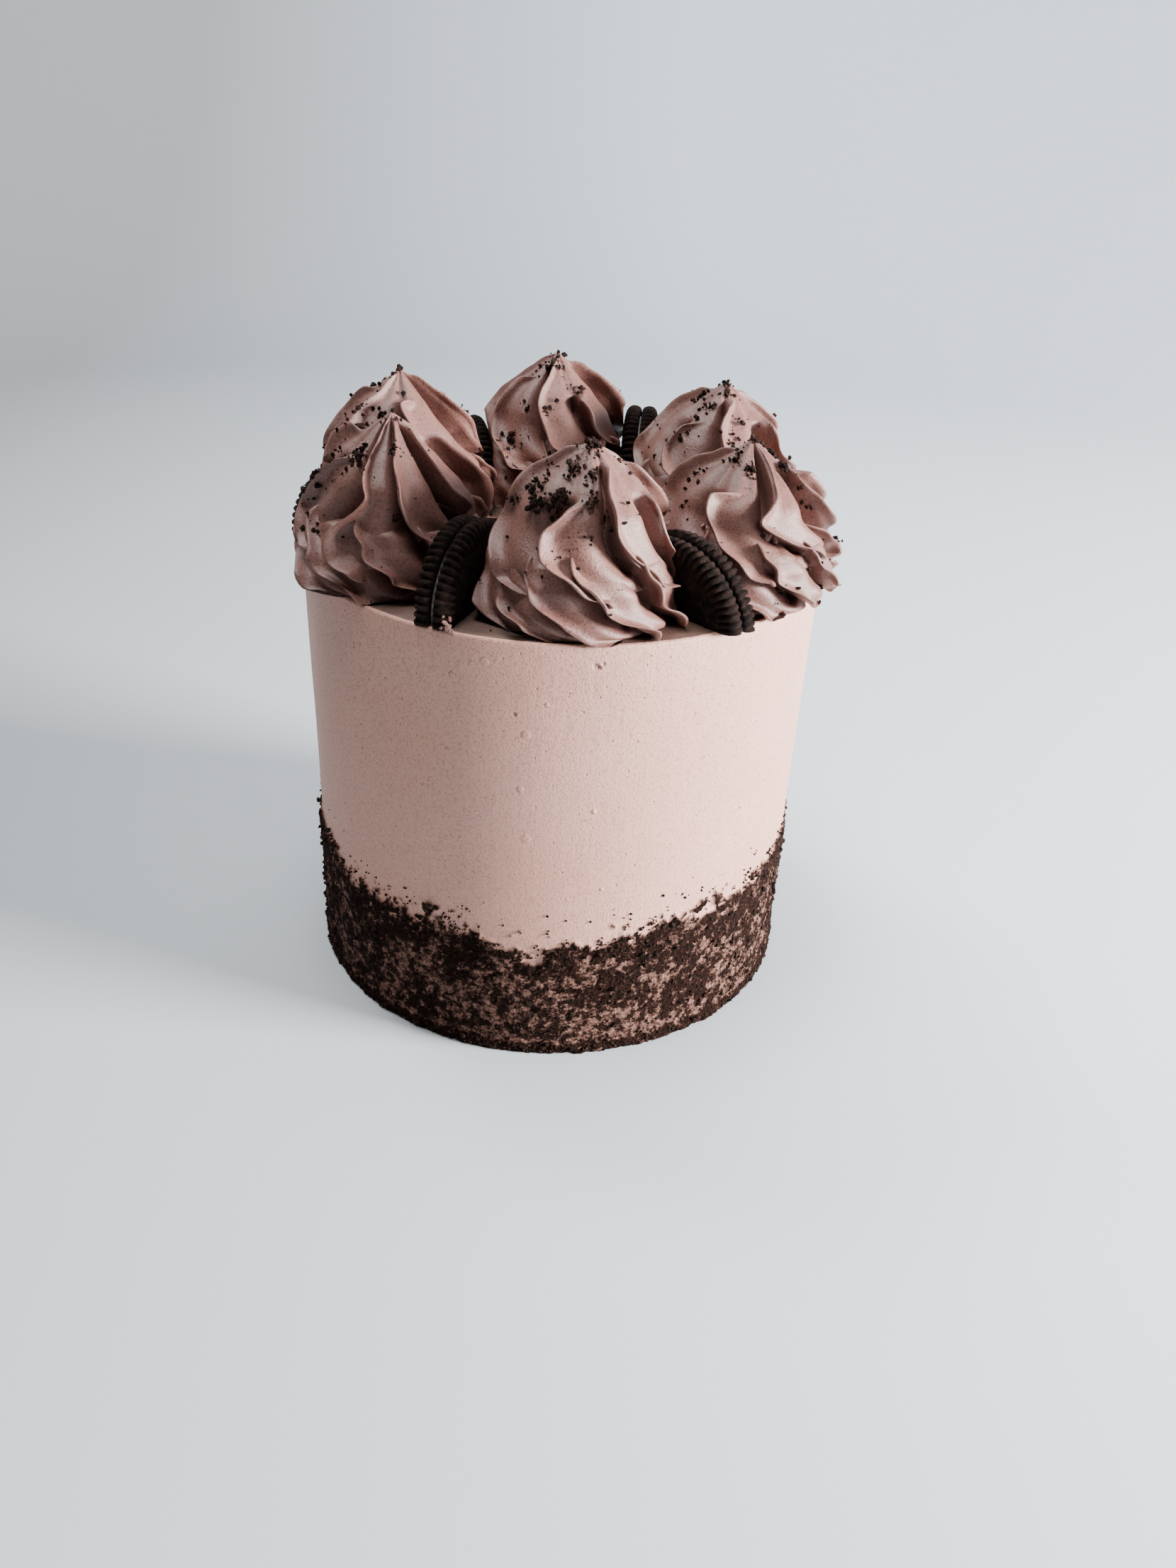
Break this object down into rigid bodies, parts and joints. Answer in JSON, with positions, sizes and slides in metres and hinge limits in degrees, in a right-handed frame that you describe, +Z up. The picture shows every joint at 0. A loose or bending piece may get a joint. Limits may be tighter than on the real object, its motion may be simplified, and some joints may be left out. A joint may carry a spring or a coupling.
{
  "type": "cookies and cream cake",
  "caption": "Tall round layer cake under smooth cookie buttercream, with a crushed cookie band at the foot, piped star swirls and halved sandwich cookies round the top.",
  "frame": {"origin": "centre of the whole cake's outline on the plane it stands on", "axes": "+Z up, -Y towards the viewer of the picture, +X to the viewer's right"},
  "size_m": [0.1624, 0.1582, 0.1816],
  "materials": {
    "buttercream": "matte",
    "piped_buttercream": "satin",
    "cocoa_wafer": "matte",
    "vanilla_cream": "matte"
  },
  "bodies": {
    "root": {"cake": "buttercream", "swirl_front": "piped_buttercream", "swirl_front_right": "piped_buttercream", "swirl_back_right": "piped_buttercream", "swirl_back": "piped_buttercream", "swirl_back_left": "piped_buttercream", "swirl_front_left": "piped_buttercream", "cookie_front_left_wafer_a": "cocoa_wafer", "cookie_front_left_cream": "vanilla_cream", "cookie_front_left_wafer_b": "cocoa_wafer", "cookie_front_right_wafer_a": "cocoa_wafer", "cookie_front_right_cream": "vanilla_cream", "cookie_front_right_wafer_b": "cocoa_wafer", "cookie_right_wafer_a": "cocoa_wafer", "cookie_right_cream": "vanilla_cream", "cookie_right_wafer_b": "cocoa_wafer", "cookie_back_right_wafer_a": "cocoa_wafer", "cookie_back_right_cream": "vanilla_cream", "cookie_back_right_wafer_b": "cocoa_wafer", "cookie_back_left_wafer_a": "cocoa_wafer", "cookie_back_left_cream": "vanilla_cream", "cookie_back_left_wafer_b": "cocoa_wafer", "cookie_left_wafer_a": "cocoa_wafer", "cookie_left_cream": "vanilla_cream", "cookie_left_wafer_b": "cocoa_wafer"}
  },
  "joints": []
}
